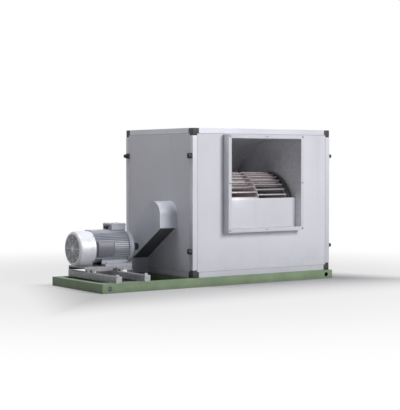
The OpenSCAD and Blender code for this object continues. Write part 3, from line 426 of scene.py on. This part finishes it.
def soft_box(low, high, r, n=4):
    """Box with rounded edges: each direction of a sphere of radius r is added to the
    corner of the inner box that lies on its side; its grid runs round and upwards."""
    low, high = np.array(low, float), np.array(high, float)
    inner = (high - low) / 2 - r
    turn, side = corner_turns(n)
    rise = np.linspace(-math.pi / 2, 0, n + 1)
    rise = np.concatenate([rise, rise + math.pi / 2])[:, None]
    up = np.repeat([-1, 1], n + 1)[:, None]
    x = side[:, 0] * inner[0] + r * np.cos(rise) * np.cos(turn)
    y = side[:, 1] * inner[1] + r * np.cos(rise) * np.sin(turn)
    z = up * inner[2] + r * np.sin(rise) + 0 * turn
    points = np.stack([x, y, z], -1).reshape(-1, 3) + (low + high) / 2
    columns = 4 * (n + 1)
    faces = quads(2 * (n + 1), columns)
    foot = [q * (n + 1) for q in (3, 2, 1, 0)]
    head = [(2 * n + 1) * columns + q * (n + 1) for q in range(4)]
    return points, faces + [foot, head]


def turned(profile, n=32, flutes=0, depth=0.0):
    """Turned shape about its own z: a profile of (radius, height) points carried round the
    axis; flutes cut the radius by depth times the square of a cosine of the turn."""
    profile = np.array(profile, float)
    turn = np.linspace(0, 2 * math.pi, n, endpoint=False)[None, :]
    groove = 1 - depth * np.cos(flutes * turn / 2) ** 2 if flutes else 1 + 0 * turn
    r = profile[:, :1] * groove
    points = np.stack([r * np.cos(turn), r * np.sin(turn), profile[:, 1:] + 0 * turn], -1)
    faces = quads(len(profile), n)
    return points.reshape(-1, 3), faces


def round_head(r, foot, start, rise, n=20):
    """Round screw or rivet head: a foot, and a quarter of an ellipse above it."""
    arc = np.linspace(0, math.pi / 2, 6)
    dome = [(r * math.cos(a), start + rise * math.sin(a)) for a in arc]
    return turned([(0, foot), (r, foot), *dome], n)


def thread(r, depth, pitch, length, n=20):
    """Screw thread about its own z: the radius falls from the crest by depth times a
    triangle wave of the height in pitches less the turn."""
    rows = int(length / pitch * 6)
    turn = np.linspace(0, 2 * math.pi, n, endpoint=False)[None, :]
    height = np.linspace(0, length, rows)[:, None]
    wave = np.abs((height / pitch - turn / (2 * math.pi)) % 1 - 0.5) * 2
    radius = r - depth * wave
    points = np.stack([radius * np.cos(turn), radius * np.sin(turn), height + 0 * turn], -1)
    caps = [list(range(n))[::-1], [(rows - 1) * n + i for i in range(n)]]
    return points.reshape(-1, 3), quads(rows, n) + caps


def strip_loop(corners, across, wide, deep, r=0.004, n=4):
    """Strip that runs round a rectangle: a rectangular section carried along a path of four
    sides and four quarter arcs. across holds the axis that it faces and its level there."""
    (a0, b0), (a1, b1) = corners
    turn, side = corner_turns(n)
    a = np.where(side[:, 0] > 0, a1 - r, a0 + r)[:, None]
    b = np.where(side[:, 1] > 0, b1 - r, b0 + r)[:, None]
    section = np.array([[-1, 0], [1, 0], [1, 1], [-1, 1]])
    reach = r + section[:, 0] * wide / 2
    flat = np.stack([a + reach * np.cos(turn)[:, None], b + reach * np.sin(turn)[:, None]], -1)
    level = across[1] + section[:, 1] * deep + 0 * a
    points = np.insert(flat.reshape(-1, 2), across[0], level.ravel(), axis=1)
    return points, quads(4 * (n + 1), 4, closed=True)


def bent_plate(wide, high, r, bend, rows=41, columns=13):
    """Plate with round corners, bent about an axis along x: a grid over its width and its
    height, whose rows shorten by a circle at the corners; y is a turn at the bend radius."""
    y = high / 2 * np.sin(np.linspace(-math.pi / 2, math.pi / 2, rows))[:, None]
    past = np.maximum(np.abs(y) - (high / 2 - r), 0)
    half = wide / 2 - r + np.sqrt(np.maximum(r ** 2 - past ** 2, 0))
    x = half * np.linspace(-1, 1, columns)[None, :]
    flat = 0 * x
    points = np.stack([x, bend * np.sin(y / bend) + flat, bend * np.cos(y / bend) + flat], -1)
    return points.reshape(-1, 3), sheet_quads(rows, columns)


def placed(shape, at, z_to=(0, 0, 1), x_to=None):
    """Turns a shape so that its z points along z_to, and moves it to a place."""
    z = np.array(z_to, float) / np.linalg.norm(z_to)
    steep = abs(z[2]) >= 0.9
    x = np.array(x_to or ((1, 0, 0) if steep else (0, 0, 1)), float)
    x = x - z * (x @ z)
    x = x / np.linalg.norm(x)
    turn = np.stack([x, np.cross(z, x), z])
    return np.array(shape[0]) @ turn + np.array(at, float), shape[1]


def made(name, shapes, body, finish, slot, stands_for=(), smooth=40):
    """One piece out of several shapes, which rides on a body, or on none where body is None."""
    points, faces = [], []
    for shape_points, shape_faces in shapes:
        start = sum(len(p) for p in points)
        points.append(np.array(shape_points))
        faces += [[start + i for i in face] for face in shape_faces]
    mesh = bpy.data.meshes.new(name)
    mesh.from_pydata(np.concatenate(points).tolist(), [], faces)
    work = bmesh.new()
    work.from_mesh(mesh)
    bmesh.ops.remove_doubles(work, verts=work.verts, dist=1e-6)
    bmesh.ops.dissolve_degenerate(work, edges=work.edges, dist=1e-6)
    bmesh.ops.recalc_face_normals(work, faces=work.faces)
    work.to_mesh(mesh)
    work.free()
    mesh.materials.append(finish)
    mesh.shade_smooth()
    mesh.set_sharp_from_angle(angle=math.radians(smooth))
    piece = bpy.data.objects.new(name, mesh)
    bpy.context.scene.collection.objects.link(piece)
    if body:
        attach(piece, body)
    if stands_for:
        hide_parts(*stands_for)
    return piece


def walled(piece, thick):
    """Gives an open sheet a wall on the side that its faces point to."""
    wall = piece.modifiers.new("wall", "SOLIDIFY")
    wall.thickness = thick
    wall.offset = 1


def eased(node, width):
    """Eases the sharp edges of a CAD node by a small bevel, after its flat faces are joined."""
    piece = frame["nodes"][node]
    weld = piece.modifiers.new("weld", "WELD")
    weld.merge_threshold = 1e-5
    merge = piece.modifiers.new("merge", "DECIMATE")
    merge.decimate_type = "DISSOLVE"
    merge.angle_limit = math.radians(0.5)
    bevel = piece.modifiers.new("bevel", "BEVEL")
    bevel.width = width
    bevel.segments = 2
    bevel.limit_method = "ANGLE"
    bevel.angle_limit = math.radians(50)
    bevel.use_clamp_overlap = True
    flat = piece.modifiers.new("flat", "WEIGHTED_NORMAL")
    flat.weight = 100
    flat.keep_sharp = True


def corner_caps():
    """Moulded caps on the eight cabinet corners: a block and three arms that are a little
    slimmer and start inside it, all with rounded edges."""
    low, high = (np.array(c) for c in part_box("corner_pieces"))
    arm, side, r = 0.042, 0.030, 0.0045
    slim = 0.0001
    shapes = []
    for pick in np.ndindex(2, 2, 2):
        tip = np.where(pick, high, low)
        inward = np.where(pick, -1, 1)
        block = np.sort([tip, tip + inward * side], axis=0)
        shapes.append(soft_box(block[0], block[1], r))
        for axis in range(3):
            start = np.full(3, slim)
            reach = np.full(3, side - slim)
            start[axis] = side / 2
            reach[axis] = arm
            ends = np.sort([tip + inward * start, tip + inward * reach], axis=0)
            shapes.append(soft_box(ends[0], ends[1], r))
    made("corner_caps", shapes, "cabinet", black, "black_nylon", ["corner_pieces"])


def clip_shapes(node):
    """A turning clip: an arm, a low finger grip and a fluted knob with a screw recess."""
    low, high = (np.array(c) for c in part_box(node))
    out = -1 if "left" in node else 1
    back = 1 if "front" in node else -1
    face = high[0] if out < 0 else low[0]
    tall = abs(high[0] - low[0])
    knob_y = (low[1] if back > 0 else high[1]) + back * 0.011
    z = (low[2] + high[2]) / 2
    end = high[1] if back > 0 else low[1]
    heel = low[1] if back > 0 else high[1]

    def block(y0, y1, half, thick, r):
        """A soft box that stands on the panel: its two ends, half width, height and radius."""
        xs = sorted((face, face + out * thick))
        ys = sorted((y0, y1))
        return soft_box((xs[0], ys[0], z - half), (xs[1], ys[1], z + half), r)

    knob_r, rim, foot = 0.011, 0.0022, 0.004
    arc = np.linspace(0, math.pi / 2, 5)
    crown = [(knob_r - rim + rim * math.cos(a), tall - rim + rim * math.sin(a)) for a in arc]
    hole_r, hole_floor, lip = 0.0064, 0.006, 0.0008
    recess = [(hole_r + lip, tall), (hole_r, tall - lip), (hole_r, hole_floor), (0, hole_floor)]
    profile = [(0, 0), (knob_r, 0), (knob_r, foot), *crown, *recess]
    knob = placed(turned(profile, 60, 20, 0.035), (face, knob_y, z), (out, 0, 0))
    shapes = [block(heel, end, 0.0155, 0.006, 0.0024), knob]
    margin, rib_pitch, rib_wide = 0.0015, 0.0036, 0.0022
    for i in range(3):
        rib = end - back * (margin + rib_pitch * i)
        shapes.append(block(rib, rib - back * rib_wide, 0.0135, 0.011, 0.001))
    return shapes


def panel_clips():
    """One moulding for each of the eight clips, which rides on the clip's own body."""
    for node in frame["nodes"]:
        if node.startswith("clip_") and node != "clip_screws":
            made(node + "_moulding", clip_shapes(node), node + "_body", black, "black_nylon", [node])


def panel_seals():
    """Grey seal strips in the joints between the frame profiles and the six panels."""
    low, high = (np.array(c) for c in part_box("corner_pieces"))
    inset, sunk, deep = 0.03075, 0.0014, 0.006
    shapes = []
    for axis in range(3):
        others = [i for i in range(3) if i != axis]
        corners = (low[others] + inset, high[others] - inset)
        for level in (low[axis] + sunk, high[axis] - sunk - deep):
            shapes.append(strip_loop(corners, (axis, level), 0.0014, deep))
    made("panel_seals", shapes, "cabinet", seal_grey, "mount_rubber", smooth=30)


def blank_plate():
    """Blank plate on the front of the motor frame, bent to the fins, with four rivets."""
    low, high = (np.array(c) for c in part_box("motor_shaft"))
    y, z = (low[1] + high[1]) / 2, (low[2] + high[2]) / 2
    middle = -0.5585
    fins = 0.0972
    wide, tall, corner, thick = 0.108, 0.088, 0.004, 0.0012
    sheet = bent_plate(wide, tall, corner, fins)
    plate = placed(sheet, (middle, y, z), (0, -1, 0), (1, 0, 0))
    piece = made("blank_plate", [plate], "motor_carriage", plate_grey, "motor_casting")
    walled(piece, thick)
    rivet = round_head(0.0032, 0, thick, 0.0016, 16)
    rivet_x, rivet_up = 0.048, 0.038
    rivets = []
    for side in (-1, 1):
        for up in (-1, 1):
            turn = up * rivet_up / fins
            out = (0, -math.cos(turn), math.sin(turn))
            at = (middle + side * rivet_x, y + out[1] * fins, z + out[2] * fins)
            rivets.append(placed(rivet, at, out))
    made("plate_rivets", rivets, "motor_carriage", bolt_zinc, "zinc_fasteners")


def cowl_screws():
    """Four round head screws that hold the cowl on the frame."""
    low, high = (np.array(c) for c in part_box("fan_cowl"))
    y, z = (low[1] + high[1]) / 2, (low[2] + high[2]) / 2
    inset, sunk = 0.008, 0.0006
    r = (high[2] - low[2]) / 2 - sunk
    head = round_head(0.0045, 0, sunk, 0.0024)
    shapes = []
    for turn in np.radians([45, 135, 225, 315]):
        out = (0, math.cos(turn), math.sin(turn))
        at = (high[0] - inset, y + out[1] * r, z + out[2] * r)
        shapes.append(placed(head, at, out))
    made("cowl_screws", shapes, "motor_carriage", bolt_zinc, "zinc_fasteners")


def cogged_belts():
    """Two cogged V-belts. The path is the outline round both pulleys: a centre, a radius
    and an outward turn, where the arcs hold the centre and the runs hold the turn. The
    section is carried along it, and the inner side steps in by a clipped cosine of the way."""
    low, high = (np.array(c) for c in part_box("drive_belts"))
    fan = sum(np.array(c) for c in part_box("fan_pulley")) / 2
    motor = sum(np.array(c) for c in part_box("motor_pulley")) / 2
    large, small = fan[1] - low[1], high[1] - motor[1]
    line = (motor - fan)[1:]
    apart = np.linalg.norm(line)
    along = math.atan2(line[1], line[0])
    open_turn = math.acos((large - small) / apart)
    run = math.sqrt(apart ** 2 - (large - small) ** 2)
    share = np.linspace(0, 1, 400, endpoint=False)
    legs = np.array([(2 * math.pi - 2 * open_turn) * large, run, 2 * open_turn * small, run])
    ends = np.concatenate([[0], np.cumsum(legs)])
    way = share * ends[-1]
    to_motor = np.interp(way, ends, [0, 0, 1, 1, 0])
    turns = [open_turn, 2 * math.pi - open_turn, 2 * math.pi - open_turn, 2 * math.pi + open_turn]
    turn = along + np.interp(way, ends, turns + [turns[-1]])
    radius = large + (small - large) * to_motor
    cog_pitch, cog_depth = 0.0072, 0.0018
    cogs = round(ends[-1] / cog_pitch)
    cog = cog_depth * np.clip(0.5 + 1.6 * np.cos(share * 2 * math.pi * cogs), 0, 1)
    wide, deep, flank = 0.0098, 0.008, 0.0012
    back = [(-0.5, 0, 0), (0.5, 0, 0)]
    section = [*back, (0.5, flank, 0), (0.31, deep, 1), (-0.31, deep, 1), (-0.5, flank, 0)]
    shapes = []
    for x in (low[0] + wide / 2, high[0] - wide / 2):
        across, depth, cut = np.array(section).T[:, None, :]
        reach = radius[:, None] - depth + cut * cog[:, None]
        y = fan[1] + to_motor[:, None] * line[0] + reach * np.cos(turn)[:, None]
        z = fan[2] + to_motor[:, None] * line[1] + reach * np.sin(turn)[:, None]
        points = np.stack([x + wide * across + 0 * y, y, z], -1).reshape(-1, 3)
        shapes.append((points, quads(len(share), len(section), closed=True)))
    piece = made("cogged_belts", shapes, None, rubber, "belt_rubber", ["drive_belts"], smooth=35)
    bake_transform(piece)


def lid_screws():
    """Four round head screws in the corners of the terminal lid."""
    low, high = (np.array(c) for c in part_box("terminal_lid"))
    head = round_head(0.0036, -0.001, 0.0004, 0.0022)
    inset = 0.0075
    shapes = [placed(head, (x, y, high[2]))
              for x in (low[0] + inset, high[0] - inset) for y in (low[1] + inset, high[1] - inset)]
    made("lid_screws", shapes, "motor_carriage", bolt_zinc, "zinc_fasteners")


def bead(start, end, r=0.0022, pitch=0.0026, n=10):
    """Weld bead: a circle carried along a line, whose radius swells by 0.16 times the
    size of a sine of the way and closes to a point at both ends."""
    start, end = np.array(start), np.array(end)
    length = np.linalg.norm(end - start)
    way = np.linspace(0, length, int(length / pitch * 6) + 1)
    close = np.clip(np.minimum(way, length - way) / (1.5 * r), 0, 1) ** 0.5
    radius = r * (0.84 + 0.16 * np.abs(np.sin(math.pi * way / pitch))) * close
    profile = np.stack([radius, way], -1)
    return placed(turned(profile, n), start, end - start)


def weld_beads():
    """Beads on the seams between the long beams and the end beams of the base."""
    low, high = (np.array(c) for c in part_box("base_left_beam"))
    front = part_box("base_front_beam")[1][1]
    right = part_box("base_right_beam")[1][0]
    short, foot = 0.002, 0.003
    shapes = []
    for side in (-1, 1):
        seam = side * abs(front)
        shapes.append(bead((low[0] + short, seam, high[2]), (high[0] - short, seam, high[2])))
        end = side * high[1]
        for x in (low[0], right):
            shapes.append(bead((x, end, foot), (x, end, high[2] - foot)))
    made("weld_beads", shapes, "cabinet", enamel, "base_paint", smooth=60)


def screw_threads():
    """Rolled threads on the two screws that push the motor plate."""
    low, high = (np.array(c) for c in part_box("tension_screws"))
    inset, head, middle, ends = 0.018, 0.0175, 0.015, 0.018
    crest, depth, pitch = 0.0054, 0.0011, 0.0018
    shape = thread(crest, depth, pitch, high[1] - low[1] - ends)
    for name, x in (("thread_left", low[0] + inset), ("thread_right", high[0] - inset)):
        screw = placed(shape, (x, low[1] + head, low[2] + middle), (0, 1, 0))
        made(name, [screw], "cabinet", bolt_zinc, "zinc_fasteners", smooth=70)


def painted_shade_louvres():
    """Dark louvred strip under the slanted run of the guard, put as painted shade where the guard's
    underside lies in shadow: its height over the sheet is a saw tooth of the way down the slope,
    and falls to nothing at the border."""
    low, high = (np.array(c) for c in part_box("belt_guard"))
    nose_z, leg_z, leg_wide = 0.3277, 0.1374, 0.053
    start = np.array([low[1] + 0.0004, nose_z])
    end = np.array([high[1] - leg_wide, leg_z])
    run = np.linalg.norm(end - start)
    down = (end - start) / run
    out = np.array([down[1], -down[0]])
    border, pitch, rise, lift, fade = 0.008, 0.0125, 0.0045, 0.0006, 0.006
    count = int((run - 2 * border) / pitch)
    steps = np.arange(count * 6 + 1) / 6
    way = border + steps * pitch
    tooth = np.minimum(steps % 1, (1 - steps % 1) * 5)
    x = np.linspace(low[0] + border, high[0] - border, 25)[None, :]
    side = np.minimum(1, np.minimum(x - x.min(), x.max() - x) / fade)
    height = lift + rise * tooth[:, None] * side
    y = start[0] + way[:, None] * down[0] + height * out[0]
    z = start[1] + way[:, None] * down[1] + height * out[1]
    points = np.stack([x + 0 * y, y, z], -1).reshape(-1, 3)
    shape = (points, sheet_quads(len(way), x.shape[1]))
    # A dark sheet put as painted shade under the guard's slanted run.
    piece = made("painted_shade_louvres", [shape], "cabinet", painted_shade_black, "black_nylon", smooth=30)
    walled(piece, 0.0008)


corner_caps()
panel_clips()
panel_seals()
blank_plate()
painted_shade_louvres()
cowl_screws()
lid_screws()
cogged_belts()
weld_beads()
screw_threads()
for name in ("base_front_beam", "base_back_beam", "base_left_beam", "base_right_beam", "motor_rails",
             "motor_plate", "terminal_box", "terminal_lid"):
    eased(name, 0.0012)
for name in ("frame_posts", "frame_rails"):
    eased(name, 0.0016)
for name in ("front_panel", "back_panel", "left_panel", "right_panel", "top_panel", "outlet_collar",
             "inlet_collar", "belt_guard"):
    eased(name, 0.0006)


# Studio

def backdrop():
    """Floor paint: it takes the shadow near the base, has painted shade inside the base's outline,
    under the frame, and glows towards the white backdrop farther off, where only the camera and gloss
    see it."""
    f = Finish("studio_floor", roughness=0.9, specular_ior_level=0.1)
    flat = f.node("ShaderNodeVectorMath", {"operation": "MULTIPLY"}, {0: f.place, 1: (1, 1, 0)})
    far = f.node("ShaderNodeVectorMath", {"operation": "LENGTH"}, {0: flat}, "Value")
    along = f.part("X")
    across = f.part("Y")
    half_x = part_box("base_right_beam")[1][0]
    half_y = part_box("base_back_beam")[1][1]
    beside = (along.math("ABSOLUTE") - half_x).peak(across.math("ABSOLUTE") - half_y)
    share = (far.over(2.0, 1.1) * 0.3 + (beside + across * 0.4).over(0.12, 0.25) * 0.7) * f.seen()
    # Painted shade: the floor is darker inside the base's outline, under the frame.
    f.set(base_color=f.mix(beside.over(-0.05, 0.03), ink(110, 110, 112), ink(200, 200, 202)))
    glow = f.node("ShaderNodeEmission", None, {"Color": (1, 1, 1), "Strength": 1.0})
    blend = f.node("ShaderNodeMixShader", None, {0: share, 1: Value(f, f.shader.outputs[0]), 2: glow})
    f.feed(f.tree.nodes["Material Output"].inputs["Surface"], blend)
    return f.material


def floor():
    """One wide flat quad under the base."""
    reach = 30.0
    mesh = bpy.data.meshes.new("floor")
    corners = [(-reach, -reach, 0), (reach, -reach, 0), (reach, reach, 0), (-reach, reach, 0)]
    mesh.from_pydata(corners, [], [(0, 1, 2, 3)])
    piece = bpy.data.objects.new("floor", mesh)
    bpy.context.scene.collection.objects.link(piece)
    mesh.materials.append(backdrop())


def world():
    """White where it is seen, and an even grey where it lights the object."""
    grey, white = 0.09, 1.0
    made = bpy.data.worlds.new("studio")
    bpy.context.scene.world = made
    made.use_nodes = True
    nodes = Nodes(made.node_tree)
    back = nodes.tree.nodes["Background"]
    inputs = {"Value": nodes.seen(), "To Min": grey, "To Max": white}
    level = nodes.node("ShaderNodeMapRange", None, inputs)
    nodes.feed(back.inputs["Color"], (1, 1, 1))
    nodes.feed(back.inputs["Strength"], level)


def lamp(name, place, aim, power, size, shine=True):
    """Oval soft lamp: its place and aim in metres, its power in watts, and its two widths."""
    data = bpy.data.lights.new(name, "AREA")
    data.energy = power
    data.shape = "ELLIPSE"
    data.size, data.size_y = size
    piece = bpy.data.objects.new(name, data)
    piece.location = place
    piece.rotation_euler = (Vector(aim) - Vector(place)).to_track_quat("-Z", "Y").to_euler()
    piece.visible_camera = False
    piece.visible_glossy = shine
    bpy.context.scene.collection.objects.link(piece)


def camera():
    """The photograph's view: 35 degrees to the left of the front, 2 degrees down."""
    data = bpy.data.cameras.new("camera")
    data.lens = 107.8
    data.sensor_width = 36
    data.clip_end = 200
    turn = 0.608410696
    dip = 0.0343918976
    ahead = (math.sin(turn) * math.cos(dip), math.cos(turn) * math.cos(dip), -math.sin(dip))
    piece = bpy.data.objects.new("camera", data)
    piece.location = (-4.07894, -5.88948, 0.69484)
    piece.rotation_euler = Vector(ahead).to_track_quat("-Z", "Y").to_euler()
    bpy.context.scene.collection.objects.link(piece)
    bpy.context.scene.camera = piece


camera()
floor()
world()
lamp("key", (1.5, -4.2, 2.3), (0.1, 0, 0.4), 160, (2.2, 2.2))
lamp("top", (-0.7, 0.1, 2.6), (-0.5, 0.15, 0.3), 30, (1.0, 1.0))
lamp("mouth", (0.1, -0.27, 0.6), (0.53, -0.16, 0.47), 0.2, (0.08, 0.2), shine=False)
bpy.context.scene.view_settings.view_transform = "Standard"
